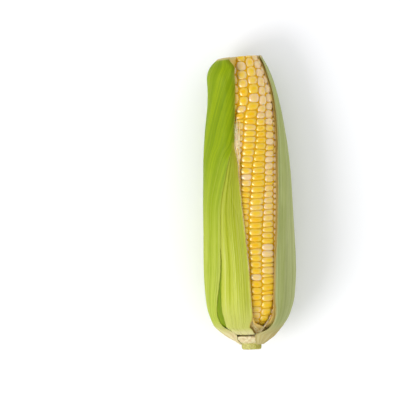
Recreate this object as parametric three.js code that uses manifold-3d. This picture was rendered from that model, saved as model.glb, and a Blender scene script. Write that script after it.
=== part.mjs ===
// A sweet corn cob trimmed for the shop: the ear lies on its back in its husk, with a window torn in
// the leaves that shows the kernels, the tip cut off flat and the shank cut short.
//
// Millimetres and degrees. +Y runs along the cob from the shank to the tip, +Z is up, through the window.
// A point on the cob is given by s, its distance along the axis from the shank's cut end, by its angle
// round the axis (0 is up, 90 is towards +X) and by its radius. The origin is the middle of the flat
// patch that the cob lies on.
import * as THREE from "three";
import { mergeVertices } from "three/addons/utils/BufferGeometryUtils.js";
import Module from "manifold-3d";

const wasm = await Module();
wasm.setup();

// ---------------------------------------------------------------- driving dimensions

const restAt = 88; // s of the origin, about under the centre of mass
const axisHeight = 28.35; // height of the axis at axisHeightAt
const axisHeightAt = 75;
const axisFall = 0.0245; // the axis sinks by this much per millimetre towards the slimmer tip

const trimAt = 190; // where the knife crosses the axis
const trimSlant = 4; // the cut leans by this angle about Z

// Outside of the husk, as radius against s, on its left (-X) and on its right (+X).
const huskLeft = [
  [3.3, 7.9], [5.8, 11.2], [8.5, 15.6], [12.4, 20.4], [15.6, 23.6], [20.8, 25.9], [26, 27.6], [32, 28.6],
  [41.6, 29.3], [51, 29.4], [69, 29.2], [82, 28.9], [100, 28.4], [121, 27.6], [134, 26.7], [143.6, 25.9],
  [152, 24.8], [160.6, 23.7], [170, 23.3], [177.5, 23.5], [183, 21.8], [187, 18.5], [190, 15.2], [197, 10],
];
const huskRight = [
  [3.3, 7.9], [5.8, 11.6], [8.5, 15.2], [12.4, 18.6], [15.6, 21.2], [20.8, 24.6], [26, 26.8], [32, 28.7],
  [41.6, 29.9], [51, 30.4], [69, 30.2], [82, 30], [100, 29.4], [121, 28.4], [134, 27.1], [143.6, 25.8],
  [152, 24.5], [160.6, 22.9], [170, 20.7], [177.5, 18.3], [183, 16.1], [187, 14.2], [190, 12.7], [197, 9],
];
const stations = [
  3.3, 5.8, 8.5, 10.3, 12.4, 15.6, 20.8, 26, 32, 41.6, 56, 75, 95, 115, 134, 148, 160.6, 170, 177.5, 183,
  187, 195,
];
const tipStations = [...stations, 125, 130].sort((a, b) => a - b); // for the leaves that meet at 130

// The tops of the kernels, as s and radius from the ear's butt to past the cut.
const earProfile = [
  [14.2, 6.2], [14.6, 10.2], [16.1, 14.6], [18.8, 18.1], [22.7, 20.9], [27, 22.9], [33, 24.4], [42, 25.3],
  [51, 25.6], [69, 25.5], [82, 25.3], [100, 24.8], [121, 24], [134, 23.2], [143.6, 22.3], [152, 21.3],
  [160.6, 20.2], [170, 18.4], [177.5, 16], [183, 13.8], [187, 11.9], [190, 10.3], [196, 7.6],
];
const rowCount = 18;
const rowTwist = [
  [10, -2], [38, -1], [71, 0], [97, 4.7], [110, 8], [120, 10], [136, 16.5], [149, 19.5], [154, 22.5],
  [160, 28.5], [168, 30], [181, 31.3], [200, 33],
];
const rowSpread = [[150, 0], [168, 0.06], [181, 0.34], [188, 0.56], [200, 0.56]]; // rows widen on one side
const rowSpreadAngle = 20; // the side, as an angle round the ear
const rowSway = 1.3; // how far a groove wanders sideways
const rowSwayLength = 19; // and over what length
const rowSwayTurn = 2.4; // how far each groove's wandering is out of step with the next one's
const rowSeed = 50021; // the random numbers of a row start from rowSeed + rowSeedStep * row
const rowSeedStep = 56374;
const fineRows = [16, 17, 0, 1]; // the rows that the window shows
const kernelPitch = [[14, 5.8], [25, 5.2], [34, 4.2], [148, 4.2], [166, 6.2], [200, 6.2]]; // kernel length
const kernelUneven = 0.13; // spread of that length
const kernelLean = 0.4; // how far the joint of two kernels may lean
const stuntedShare = 0.04; // share of kernels that stayed thin
const stuntedLength = 0.55; // their length, against a full kernel's
const cutPassing = 5; // how far past the cut the last joint of a row may lie
const firstKernelAt = 3; // length of the butt that is left for a row's first kernel
const grooveDepth = [[14, 0.5], [20, 1.5], [30, 1.8], [165, 2.1], [200, 1.9]];
const cleftDepth = 0.62; // depth between two kernels of a row, as a share of the groove's
const crownWidth = 0.8; // a kernel's crown, as a share of its width and of its length
const crownLength = 0.78;
const crownSink = 0.3; // how far the crown's rim lies below its middle
const grooveSnap = 0.9; // corners of neighbouring rows closer than this share a point
const earEndMargin = 0.06; // the ear's faces keep this far from the two ends of its line

// Edges of the leaves, as angle against s. The window lies between windowLeft and windowRight.
const windowLeft = [
  [10.3, 8.5], [12.4, 3], [15.6, -3], [20.8, 0.8], [32, 0.2], [48, -1.2], [64, -3.3], [89, -8], [100, -10],
  [110, -11.6], [124, -14.2], [131, -17], [170, -17.4], [178, -19], [188, -34], [196, -40],
];
const windowRight = [
  [3.3, 26], [5.8, 14], [8.5, 9.5], [10.3, 10], [12.4, 27], [15.6, 36.6], [20.8, 38.2], [32, 36.6], [48, 37],
  [64, 40], [89, 46], [110, 50.6], [123, 53.3], [144, 60.8], [160, 64.4], [178, 64.5], [188, 74], [196, 78],
];
const outerLeftEdge = [
  [3.3, -62], [5.8, -57], [9.4, -44], [12.4, -47], [15.6, -54], [20.8, -58], [26, -55.4], [34, -49.2],
  [51, -41], [71, -39.3], [94, -38.2], [116, -28.4], [125, -24], [129, -21], [133, -17.8], [148, -17.4],
  [178, -17.5], [183, -18.5], [188, -33], [196, -40],
];
const frontLeftEdge = [
  [10.3, -58], [12.4, -51], [15.6, -45.5], [20.8, -43.8], [26, -43.6], [34, -41.6], [51, -38.6], [71, -37.4],
  [94, -36.2], [116, -26.6], [125, -22.4], [130, -19.2],
];
const innerLeftEdge = [
  [5.8, 45], [8.5, 42], [10.3, 36], [12.4, 24], [15.6, 9], [20.8, 3.8], [34, 1], [64, -2.2], [89, -7],
  [104, -9], [115, -10.2], [127, -11], [134, -13.5], [142, -16.5], [152, -20], [170, -20.5], [178, -21],
  [188, -23], [196, -24],
];
const innerRightEdge = [
  [5.8, 47], [8.5, 44.5], [10.3, 42], [12.4, 41], [15.6, 39], [20.8, 38], [32, 37.5], [64, 41.5], [89, 48],
  [123, 51.5], [144, 57], [160, 60], [178, 60.5], [188, 70], [196, 74],
];

const leafGap = 0.35; // air between two layers of husk
const outerThick = 0.75;
const middleThick = 0.65;
const innerThick = 0.6;
const tipThinness = 0.82; // a leaf's thickness at the tip, as a share of that at the base
const thinningFrom = 120; // and where it grows thinner
const thinningTo = 148;
const closingFrom = 124; // where the inner leaf on the right takes the ended middle one's place
const closingTo = 146;
const layerTuck = [0, 3.1, 3.4]; // how much higher up the shank each layer grows
const tuckFrom = 6; // where the layers part from their tucked butts, and where they lie in their places
const tuckTo = 19;
const ribHeight = 0.22;
const frontPuff = 0.7; // how far the front leaf's middle stands off
const footDraw = 4; // how far the front leaf's butt is drawn in to the collar, up to footTo
const footFrom = 10.3;
const footTo = 15.6;
const gridAngle = 15; // step of the angles at which the hidden layers have their columns

// The stub of the stalk, as s and radius: cut end, waist, collar below the leaves, and root inside them.
const shankProfile = [
  [0, 0], [0, 5.7], [0.5, 6.4], [3.2, 6.5], [3.9, 6.9], [4.8, 8.2], [6, 9.8], [7.4, 11.4], [8.6, 12],
  [9.3, 11.2], [9.5, 9.2], [12, 8.6], [13.8, 7.4], [13.8, 0],
];
const shankSides = 24;
const shankOval = 0.03; // how far the stub is from round, and how strong its five ribs are
const shankOvalTurn = 40;
const shankRibs = 0.02;

// Colours and shine.
const finish = {
  kernel: { color: 0xf0bd2e, roughness: 0.3, metalness: 0 },
  shank: { color: 0xd8d788, roughness: 0.6, metalness: 0 },
  outer: { color: 0xa3bf3c, roughness: 0.5, metalness: 0 },
  front: { color: 0xb9cb48, roughness: 0.5, metalness: 0 },
  middle: { color: 0x86a81c, roughness: 0.55, metalness: 0 },
  inner: { color: 0xdcd79a, roughness: 0.6, metalness: 0 },
};

// ---------------------------------------------------------------- helpers

const none = () => 0;
const noRibs = [0, -1];
const radians = THREE.MathUtils.degToRad;
const mix = THREE.MathUtils.lerp;
const ease = THREE.MathUtils.smoothstep;

// A smooth curve y(x) through points, held at its end values outside them.
function through(points) {
  const last = points.length - 1;
  const slope = points.map((_, i) => {
    const a = points[Math.max(i - 1, 0)];
    const b = points[Math.min(i + 1, last)];
    return (b[1] - a[1]) / (b[0] - a[0]);
  });
  return (x) => {
    if (x <= points[0][0]) return points[0][1];
    if (x >= points[last][0]) return points[last][1];
    let i = 0;
    while (x > points[i + 1][0]) i++;
    const [x0, y0] = points[i];
    const [x1, y1] = points[i + 1];
    const h = x1 - x0;
    const t = (x - x0) / h;
    const rise = (t * t * t - 2 * t * t + t) * h * slope[i] + (t * t * t - t * t) * h * slope[i + 1];
    return mix(y0, y1, t * t * (3 - 2 * t)) + rise;
  };
}

// Random numbers from 0 to 1 that come out the same on every run.
function randomSource(seed) {
  let state = seed;
  return () => {
    state = (state * 16807) % 2147483647;
    return (state - 1) / 2147483646;
  };
}

const huskLeftRadius = through(huskLeft);
const huskRightRadius = through(huskRight);

// Radius of the husk's outside, which is fuller on the left at the tip and on the right at the belly.
function huskRadius(s, angle) {
  return mix(huskLeftRadius(s), huskRightRadius(s), (1 + Math.sin(radians(angle))) / 2);
}

// A point's place. depth is its distance inside the husk's outside, so that all layers settle alike
// where the cob's weight has pressed them flat.
function place(s, angle, radius, depth) {
  const height = axisHeight - axisFall * (s - axisHeightAt);
  const turn = radians(angle);
  const z = height + radius * Math.cos(turn);
  return [radius * Math.sin(turn), s - restAt, Math.max(z, depth)];
}

// Collects points and triangles and turns them into a geometry.
class Shape {
  positions = [];
  faces = [];

  point(xyz) {
    this.positions.push(...xyz);
    return this.positions.length / 3 - 1;
  }

  quad(a, b, c, d) {
    this.faces.push(a, b, c, a, c, d);
  }

  geometry() {
    const geometry = new THREE.BufferGeometry();
    geometry.setAttribute("position", new THREE.Float32BufferAttribute(this.positions, 3));
    geometry.setIndex(this.faces);
    geometry.computeVertexNormals();
    return geometry;
  }
}

function solidOf(geometry) {
  const bare = geometry.clone();
  bare.deleteAttribute("normal");
  bare.deleteAttribute("uv");
  const merged = mergeVertices(bare, 1e-4);
  return new wasm.Manifold(
    new wasm.Mesh({
      numProp: 3,
      vertProperties: merged.attributes.position.array,
      triVerts: new Uint32Array(merged.index.array),
    }),
  );
}

function geometryOf(solid) {
  const { vertProperties, triVerts } = solid.getMesh();
  const geometry = new THREE.BufferGeometry();
  geometry.setAttribute("position", new THREE.BufferAttribute(vertProperties, 3));
  geometry.setIndex(new THREE.BufferAttribute(triVerts, 1));
  geometry.computeVertexNormals();
  return geometry;
}

// What the knife takes off the tip: a block whose near face is the cut.
function trimBlock() {
  const size = 120;
  const block = new THREE.BoxGeometry(size, size, size);
  block.translate(0, size / 2, 0);
  block.rotateZ(radians(trimSlant));
  block.translate(0, trimAt - restAt, axisHeight);
  return solidOf(block);
}

function trimmed(shape) {
  return geometryOf(solidOf(shape.geometry()).subtract(trimBlock()));
}

// ---------------------------------------------------------------- the ear

// The line of the kernels' tops, measured by its own length, with its normal.
function earLine() {
  const lengths = [0];
  for (let i = 1; i < earProfile.length; i++) {
    const [s0, r0] = earProfile[i - 1];
    const [s1, r1] = earProfile[i];
    lengths.push(lengths[i - 1] + Math.hypot(s1 - s0, r1 - r0));
  }
  const along = through(earProfile.map(([s], i) => [lengths[i], s]));
  const out = through(earProfile.map(([, r], i) => [lengths[i], r]));
  const step = 0.05;
  const at = (u, sink) => {
    const ds = along(u + step) - along(u - step);
    const dr = out(u + step) - out(u - step);
    const size = Math.hypot(ds, dr);
    return { s: along(u) + (sink * dr) / size, radius: out(u) - (sink * ds) / size };
  };
  // Length at which the knife crosses the line at an angle round the ear.
  const cutAt = (angle) => {
    let u = lengths.at(-1);
    const past = () => along(u) - trimAt - Math.tan(radians(trimSlant)) * out(u) * Math.sin(radians(angle));
    while (past() > 0) u -= step;
    return u;
  };
  return { length: lengths.at(-1), along, at, cutAt };
}

const line = earLine();
const twist = through(rowTwist);
const spreadAt = through(rowSpread);
const pitchAt = through(kernelPitch);
const grooveAt = through(grooveDepth);

// Angle of the groove on the low side of a row, or of the row's middle where row is a half more.
function grooveAngle(row, u) {
  const s = line.along(u);
  const own = ((row % rowCount) + rowCount) % rowCount;
  const sway = rowSway * Math.sin(s / rowSwayLength + own * rowSwayTurn);
  const even = twist(s) + (360 / rowCount) * row + sway;
  return even + THREE.MathUtils.radToDeg(spreadAt(s) * Math.sin(radians(even - rowSpreadAngle)));
}

// Where the kernels of a row meet, as pairs of lengths along the ear on the row's two sides. They are
// laid from the cut, which passes through the last one, to the butt.
function rowJoints(row) {
  const random = randomSource(rowSeed + rowSeedStep * row);
  const around = () => 2 * random() - 1;
  const joints = [[line.length, line.length]];
  let u = line.cutAt(grooveAngle(row + 0.5, line.length)) + cutPassing * random();
  while (u > firstKernelAt) {
    const lean = kernelLean * around();
    joints.unshift([u - lean, u + lean]);
    const full = random() < stuntedShare ? stuntedLength : 1;
    u -= pitchAt(line.along(u)) * full * (1 + kernelUneven * around());
  }
  joints.unshift([0, 0]);
  return joints;
}

// A point of the ear at an angle and a length along its line, sunk below the kernels' tops.
function earPoint(shape, angle, u, sink) {
  const within = THREE.MathUtils.clamp(u, earEndMargin, line.length - earEndMargin);
  const { s, radius } = line.at(within, sink);
  return shape.point(place(s, angle, radius, huskRadius(s, angle) - radius));
}

// The corners in a groove, in order along the ear: those of the row below it and of the row above it.
// Each keeps the number of the joint that it ends, and close ones become one corner of both rows.
function grooveCorners(shape, groove, rowBelow, rowAbove) {
  const below = rowBelow.map((joint, j) => ({ u: joint[1], below: j }));
  const above = rowAbove.map((joint, j) => ({ u: joint[0], above: j }));
  const corners = [];
  for (const corner of [...below, ...above].sort((a, b) => a.u - b.u)) {
    const before = corners.at(-1);
    const side = corner.below === undefined ? "above" : "below";
    if (before && corner.u - before.u < grooveSnap && before[side] === undefined) {
      before[side] = corner[side];
      before.u = (before.u + corner.u) / 2;
    } else corners.push(corner);
  }
  for (const corner of corners)
    corner.point = earPoint(shape, grooveAngle(groove, corner.u), corner.u, grooveAt(line.along(corner.u)));
  return corners;
}

// The corners of a groove from the near joint to the far joint of one kernel.
function cornersOf(corners, side, j) {
  const first = corners.findIndex((corner) => corner[side] === j);
  const last = corners.findIndex((corner) => corner[side] === j + 1);
  return corners.slice(first, last + 1);
}

// One kernel: an outline in the grooves and clefts round it, and a crown with a number of sides.
function kernel(shape, { centre, half, middle, width, lows, highs, clefts, sides }) {
  const outline = [];
  const add = (point, across, along) => {
    const turn = Math.atan2(along, across);
    outline.push({ point, turn: turn < 0 ? turn + 2 * Math.PI : turn });
  };
  const shareOf = (corner) => THREE.MathUtils.clamp((corner.u - centre) / half, -1, 1);
  for (const corner of highs) add(corner.point, 1, shareOf(corner));
  if (clefts) add(clefts[1], 0, 1);
  for (const corner of [...lows].reverse()) add(corner.point, -1, shareOf(corner));
  if (clefts) add(clefts[0], 0, -1);
  const crown = Array.from({ length: sides }, (_, k) => {
    const turn = ((k + 0.5) / sides) * 2 * Math.PI;
    const angle = middle + crownWidth * width * Math.cos(turn);
    return { point: earPoint(shape, angle, centre + crownLength * half * Math.sin(turn), crownSink), turn };
  });
  stitch(shape, outline, crown);
  if (clefts) {
    const top = earPoint(shape, middle, centre, 0);
    for (let k = 0; k < sides; k++) shape.faces.push(top, crown[k].point, crown[(k + 1) % sides].point);
  } else shape.quad(...crown.map((corner) => corner.point));
}

// Fills the band between two rings of points, both ordered by their turn.
function stitch(shape, outer, inner) {
  const full = 2 * Math.PI;
  const start = outer.reduce((best, p, i) => (p.turn < outer[best].turn ? i : best), 0);
  const ring = [...outer.slice(start), ...outer.slice(0, start)];
  const outAt = (i) => ring[i % ring.length].turn + (i >= ring.length ? full : 0);
  const inAt = (k) => inner[k % inner.length].turn + (k >= inner.length ? full : 0);
  let i = 0;
  let k = 0;
  while (i < ring.length || k < inner.length) {
    const a = ring[i % ring.length].point;
    const b = inner[k % inner.length].point;
    const outerNext = k >= inner.length || (i < ring.length && outAt(i + 1) <= inAt(k + 1));
    if (outerNext) {
      shape.faces.push(a, ring[(i + 1) % ring.length].point, b);
      i++;
    } else {
      shape.faces.push(a, inner[(k + 1) % inner.length].point, b);
      k++;
    }
  }
}

// The kernels of one row between the corners of the two grooves beside it. Gives the points that the
// row has at the ear's butt and at its tip.
function kernelRow(shape, row, joints, low, high) {
  const fine = fineRows.includes(row);
  const middle = (u) => (grooveAngle(row, u) + grooveAngle(row + 1, u)) / 2;
  const lengths = joints.map(([a, b]) => (a + b) / 2);
  const clefts = fine
    ? lengths.map((u) => earPoint(shape, middle(u), u, cleftDepth * grooveAt(line.along(u))))
    : undefined;
  for (let j = 0; j + 1 < joints.length; j++) {
    const centre = (lengths[j] + lengths[j + 1]) / 2;
    kernel(shape, {
      centre,
      half: (lengths[j + 1] - lengths[j]) / 2,
      middle: middle(centre),
      width: (grooveAngle(row + 1, centre) - grooveAngle(row, centre)) / 2,
      lows: cornersOf(low, "above", j),
      highs: cornersOf(high, "below", j),
      clefts: clefts && [clefts[j], clefts[j + 1]],
      sides: fine ? 8 : 4,
    });
  }
  return [0, -1].map((end) => {
    const between = clefts ? [clefts.at(end)] : [];
    return [low.at(end).point, ...between, high.at(end).point];
  });
}

function ear() {
  const shape = new Shape();
  const rows = Array.from({ length: rowCount }, (_, row) => rowJoints(row));
  const grooves = rows.map((above, groove) => grooveCorners(shape, groove, rows.at(groove - 1), above));
  const butt = shape.point(place(earProfile[0][0], 0, 0, 0));
  const tip = shape.point(place(earProfile.at(-1)[0], 0, 0, 0));
  rows.forEach((joints, row) => {
    const [atButt, atTip] = kernelRow(shape, row, joints, grooves[row], grooves[(row + 1) % rowCount]);
    for (let k = 0; k + 1 < atButt.length; k++) {
      shape.faces.push(butt, atButt[k + 1], atButt[k]);
      shape.faces.push(tip, atTip[k], atTip[k + 1]);
    }
  });
  return trimmed(shape);
}

// ---------------------------------------------------------------- the husk

// Leaves and gaps are this share of their full thickness: they grow thinner towards the tip.
function slimming(s) {
  return mix(1, tipThinness, ease(s, thinningFrom, thinningTo));
}

// Distance of a layer's outside inside the husk's outside. The middle layer on the right stops short
// of the tip, and the inner one then closes up.
function layerDepth(layer, s, angle) {
  const slim = slimming(s);
  if (layer === 0) return 0;
  if (layer === 1) return slim * (outerThick + leafGap);
  const both = slim * (outerThick + middleThick + 2 * leafGap);
  const one = slim * (outerThick + leafGap);
  const right = ease(Math.sin(radians(angle)), -0.1, 0.5);
  return mix(both, one, right * ease(s, closingFrom, closingTo));
}

// The middle and inner leaves grow from higher up the shank, so their butts are drawn towards the tip.
function tuck(layer, s) {
  return layerTuck[layer] * (1 - ease(s, tuckFrom, tuckTo));
}

// A leaf's point at a station and an angle, depth inside its place in the husk, lifted by a rib and
// drawn in towards the axis.
function leafPoint(layer, s, angle, depth, lift, draw) {
  const step = 0.5;
  const slope = (huskRadius(s + step, angle) - huskRadius(s - step, angle)) / (2 * step);
  const size = Math.hypot(1, slope);
  const lifted = depth - lift;
  const along = s + (lifted * slope) / size + tuck(layer, s);
  return place(along, angle, huskRadius(s, angle) - lifted / size - draw, depth);
}

// Closes two grids of points, a leaf's outside and its inside, with a rim round them.
function closeSkins(shape, out, into) {
  const rows = out.length - 1;
  const columns = out[0].length - 1;
  for (let i = 0; i < rows; i++)
    for (let j = 0; j < columns; j++) {
      shape.quad(out[i][j], out[i][j + 1], out[i + 1][j + 1], out[i + 1][j]);
      shape.quad(into[i][j], into[i + 1][j], into[i + 1][j + 1], into[i][j + 1]);
    }
  for (let i = 0; i < rows; i++) {
    shape.quad(out[i][0], out[i + 1][0], into[i + 1][0], into[i][0]);
    shape.quad(out[i][columns], into[i][columns], into[i + 1][columns], out[i + 1][columns]);
  }
  for (let j = 0; j < columns; j++) {
    shape.quad(out[0][j], into[0][j], into[0][j + 1], out[0][j + 1]);
    shape.quad(out[rows][j], out[rows][j + 1], into[rows][j + 1], into[rows][j]);
  }
}

// A leaf: two skins a thickness apart over a grid of stations and columns, with ribs along it.
// cells gives the angles of a station's points from the leaf's left edge to its right edge.
function leaf(what) {
  const { layer, from, to, cells, thickness, at = stations, ribs = noRibs, puff = none, foot = none } = what;
  const shape = new Shape();
  const used = at.filter((s) => s >= from && s <= to);
  const isRib = (j) => j % 2 === 1 && j >= ribs[0] && j <= ribs[1];
  const skin = (inside) =>
    used.map((s) => {
      const angles = cells(s);
      return angles.map((angle, j) => {
        const lift = puff(s, j / (angles.length - 1)) + (!inside && isRib(j) ? ribHeight : 0);
        const depth = layerDepth(layer, s, angle) + inside * thickness * slimming(s);
        return shape.point(leafPoint(layer, s, angle, depth, lift, foot(s)));
      });
    });
  closeSkins(shape, skin(0), skin(1));
  return to > trimAt ? trimmed(shape) : shape.geometry();
}

// Columns spread evenly between two edges, so the ribs gather where the leaf narrows.
function spread(left, right, columns) {
  return (s) => Array.from({ length: columns + 1 }, (_, j) => mix(left(s), right(s), j / columns));
}

// Columns at the same angles for all hidden layers, so that these lie flat on each other.
function gridded(firstColumn, lastColumn) {
  return Array.from({ length: lastColumn - firstColumn + 1 }, (_, k) => (firstColumn + k) * gridAngle);
}

const fixed = (angle) => () => angle;
const windowLeftAt = through(windowLeft);
const windowRightAt = through(windowRight);
const middleRightEdge = (s) => Math.max(windowRightAt(s) + 3, 40);
const stationEnd = stations.at(-1);

const leaves = {
  husk_outer_left: {
    look: finish.outer,
    layer: 0,
    at: tipStations,
    from: 3.3,
    to: stationEnd,
    thickness: outerThick,
    ribs: [9, 13],
    cells: (s) => [-192, ...gridded(-12, -6), ...spread(fixed(-75), through(outerLeftEdge), 6)(s)],
  },
  husk_outer_right: {
    look: finish.outer,
    layer: 0,
    from: 3.3,
    to: stationEnd,
    thickness: outerThick,
    ribs: [1, 5],
    cells: (s) => [...spread(windowRightAt, fixed(90), 6)(s), ...gridded(7, 10), 165.5],
  },
  husk_front: {
    look: finish.front,
    layer: 0,
    at: tipStations,
    from: footFrom,
    to: 130,
    thickness: outerThick,
    ribs: [1, 7],
    cells: spread(through(frontLeftEdge), windowLeftAt, 8),
    puff: (s, across) => frontPuff * Math.sin(Math.PI * across) * ease(s, 14, 24) * (1 - ease(s, 90, 125)),
    foot: (s) => footDraw * (1 - ease(s, footFrom, footTo)),
  },
  husk_middle_left: {
    look: finish.middle,
    layer: 1,
    from: 5.8,
    to: 115,
    thickness: middleThick,
    cells: () => [-244, ...gridded(-16, -2), -14],
  },
  husk_middle_right: {
    look: finish.middle,
    layer: 1,
    from: 5.8,
    to: 115,
    thickness: middleThick,
    cells: (s) => [...spread(middleRightEdge, fixed(75), 3)(s), ...gridded(6, 7), 112],
  },
  husk_inner_left: {
    look: finish.inner,
    layer: 2,
    from: 5.8,
    to: stationEnd,
    thickness: innerThick,
    cells: (s) => [-178, ...gridded(-11, -5), ...spread(fixed(-60), through(innerLeftEdge), 4)(s)],
  },
  husk_inner_right: {
    look: finish.inner,
    layer: 2,
    from: 5.8,
    to: stationEnd,
    thickness: innerThick,
    cells: (s) => [...spread(through(innerRightEdge), fixed(90), 4)(s), ...gridded(7, 11), 178],
  },
};

// ---------------------------------------------------------------- the shank

function shank() {
  const sides = shankSides;
  const shape = new Shape();
  const rings = shankProfile.slice(1, -1).map(([s, radius]) =>
    Array.from({ length: sides }, (_, k) => {
      const angle = (360 / sides) * k;
      const oval = shankOval * Math.sin(radians(2 * angle + shankOvalTurn));
      const ribs = shankRibs * Math.sin(radians(5 * angle));
      return shape.point(place(s, angle, radius * (1 + oval + ribs), 0));
    }),
  );
  const cutEnd = shape.point(place(shankProfile[0][0], 0, 0, 0));
  const root = shape.point(place(shankProfile.at(-1)[0], 0, 0, 0));
  for (let k = 0; k < sides; k++) {
    const next = (k + 1) % sides;
    for (let i = 0; i + 1 < rings.length; i++)
      shape.quad(rings[i][k], rings[i][next], rings[i + 1][next], rings[i + 1][k]);
    shape.faces.push(cutEnd, rings[0][next], rings[0][k]);
    shape.faces.push(root, rings.at(-1)[k], rings.at(-1)[next]);
  }
  return shape.geometry();
}

// ---------------------------------------------------------------- the cob

function addMesh(group, name, geometry, look) {
  const mesh = new THREE.Mesh(geometry, new THREE.MeshStandardMaterial(look));
  mesh.name = name;
  group.add(mesh);
}

const cob = new THREE.Group();
addMesh(cob, "ear", ear(), finish.kernel);
addMesh(cob, "shank", shank(), finish.shank);
for (const [name, what] of Object.entries(leaves)) addMesh(cob, name, leaf(what), what.look);

export default cob;
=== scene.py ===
import math

import bpy
import numpy as np
from mathutils import Matrix, Vector


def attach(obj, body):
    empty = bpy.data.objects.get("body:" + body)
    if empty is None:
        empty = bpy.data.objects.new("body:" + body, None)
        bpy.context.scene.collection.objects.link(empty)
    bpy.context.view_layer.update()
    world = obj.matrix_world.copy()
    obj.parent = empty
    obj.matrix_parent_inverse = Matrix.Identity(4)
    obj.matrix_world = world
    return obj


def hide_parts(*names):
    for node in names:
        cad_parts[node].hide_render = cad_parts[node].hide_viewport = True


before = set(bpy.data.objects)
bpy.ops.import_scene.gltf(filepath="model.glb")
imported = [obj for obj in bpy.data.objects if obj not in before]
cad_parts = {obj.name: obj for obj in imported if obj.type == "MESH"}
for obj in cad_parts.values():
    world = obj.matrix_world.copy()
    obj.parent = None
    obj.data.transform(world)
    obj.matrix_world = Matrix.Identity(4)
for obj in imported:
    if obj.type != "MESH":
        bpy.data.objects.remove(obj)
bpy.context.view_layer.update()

# Sizes are millimetres and degrees. A point on the cob has its distance s along the axis from the
# shank's cut end, its angle round the axis (0 is up, 90 towards +X) and its radius.
millimetre = 0.001


def through(points):  # a smooth curve through points, held at its end values outside them
    xs, ys = np.array(points, float).T
    own = np.arange(len(xs))
    before, after = np.maximum(own - 1, 0), np.minimum(own + 1, len(xs) - 1)
    slopes = (ys[after] - ys[before]) / (xs[after] - xs[before])

    def curve(x):
        x = np.clip(np.asarray(x, float), xs[0], xs[-1])
        i = np.clip(np.searchsorted(xs, x, side="left") - 1, 0, len(xs) - 2)
        h = xs[i + 1] - xs[i]
        t = (x - xs[i]) / h
        level = ys[i] + (ys[i + 1] - ys[i]) * t * t * (3 - 2 * t)
        return level + (t**3 - 2 * t * t + t) * h * slopes[i] + (t**3 - t * t) * h * slopes[i + 1]

    return curve


def ease(x, low, high):
    t = np.clip((np.asarray(x, float) - low) / (high - low), 0, 1)
    return t * t * (3 - 2 * t)


def mix(a, b, t):
    return a + (b - a) * t


def sinDeg(angle):
    return np.sin(np.radians(angle))


cob = {
    "restAt": 88,  # s of the origin
    "axisHeight": 28.35,  # height of the axis at axisHeightAt, and how it falls towards the tip
    "axisHeightAt": 75,
    "axisFall": 0.0245,
    "trimAt": 190,  # where the knife crosses the axis, and the cut's lean
    "trimSlant": 4,
    "huskLeft": [
        (3.3, 7.9), (5.8, 11.2), (8.5, 15.6), (12.4, 20.4), (15.6, 23.6), (20.8, 25.9), (26, 27.6),
        (32, 28.6), (41.6, 29.3), (51, 29.4), (69, 29.2), (82, 28.9), (100, 28.4), (121, 27.6),
        (134, 26.7), (143.6, 25.9), (152, 24.8), (160.6, 23.7), (170, 23.3), (177.5, 23.5),
        (183, 21.8), (187, 18.5), (190, 15.2), (197, 10),
    ],
    "huskRight": [
        (3.3, 7.9), (5.8, 11.6), (8.5, 15.2), (12.4, 18.6), (15.6, 21.2), (20.8, 24.6), (26, 26.8),
        (32, 28.7), (41.6, 29.9), (51, 30.4), (69, 30.2), (82, 30), (100, 29.4), (121, 28.4),
        (134, 27.1), (143.6, 25.8), (152, 24.5), (160.6, 22.9), (170, 20.7), (177.5, 18.3),
        (183, 16.1), (187, 14.2), (190, 12.7), (197, 9),
    ],
    "leafGap": 0.35,
    "outerThick": 0.75,
    "middleThick": 0.65,
    "innerThick": 0.6,
}
huskLeftRadius = through(cob["huskLeft"])
huskRightRadius = through(cob["huskRight"])
trimLean = math.tan(math.radians(cob["trimSlant"]))


def huskRadius(s, angle):
    return mix(huskLeftRadius(s), huskRightRadius(s), (1 + sinDeg(angle)) / 2)


def place(s, angle, radius, depth):  # depth counts where the cob's weight flattens the husk
    height = cob["axisHeight"] - cob["axisFall"] * (s - cob["axisHeightAt"])
    z = np.maximum(height + radius * np.cos(np.radians(angle)), depth)
    return np.stack([radius * sinDeg(angle), s - cob["restAt"] + 0 * z, z], axis=-1) * millimetre


def randomSource(seed, times=16807, over=2147483647):  # the generator of the part's source
    state = seed
    while True:
        state = (state * times) % over
        yield (state - 1) / (over - 1)


def waves(rng, count, longest, shortest):  # a sum of sines with random lengths and phases
    lengths = np.exp(rng.uniform(math.log(shortest), math.log(longest), count))
    phases = rng.uniform(0, 2 * math.pi, count)

    def value(x):
        x = np.asarray(x, float)[..., None]
        return np.sin(2 * math.pi * x / lengths + phases).sum(-1) / math.sqrt(count)

    return value


def makeObject(name, points, faces, material, values=None, smooth=True, sharpOver=None):
    mesh = bpy.data.meshes.new(name)
    mesh.vertices.add(len(points))
    mesh.vertices.foreach_set("co", np.asarray(points, np.float32).ravel())
    faces = np.asarray(faces, np.int32)
    corners = faces.shape[1]
    mesh.loops.add(faces.size)
    mesh.loops.foreach_set("vertex_index", faces.ravel())
    mesh.polygons.add(len(faces))
    mesh.polygons.foreach_set("loop_start", np.arange(len(faces), dtype=np.int32) * corners)
    mesh.polygons.foreach_set("loop_total", np.full(len(faces), corners, np.int32))
    mesh.polygons.foreach_set("use_smooth", np.full(len(faces), smooth))
    for key, value in (values or {}).items():
        layer = mesh.attributes.new(key, "FLOAT", "POINT")
        layer.data.foreach_set("value", np.asarray(value, np.float32).ravel())
    mesh.update(calc_edges=True)
    mesh.validate()
    if sharpOver:
        mesh.set_sharp_from_angle(angle=math.radians(sharpOver))
    mesh.materials.append(material)
    piece = bpy.data.objects.new(name, mesh)
    bpy.context.scene.collection.objects.link(piece)
    return piece


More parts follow.
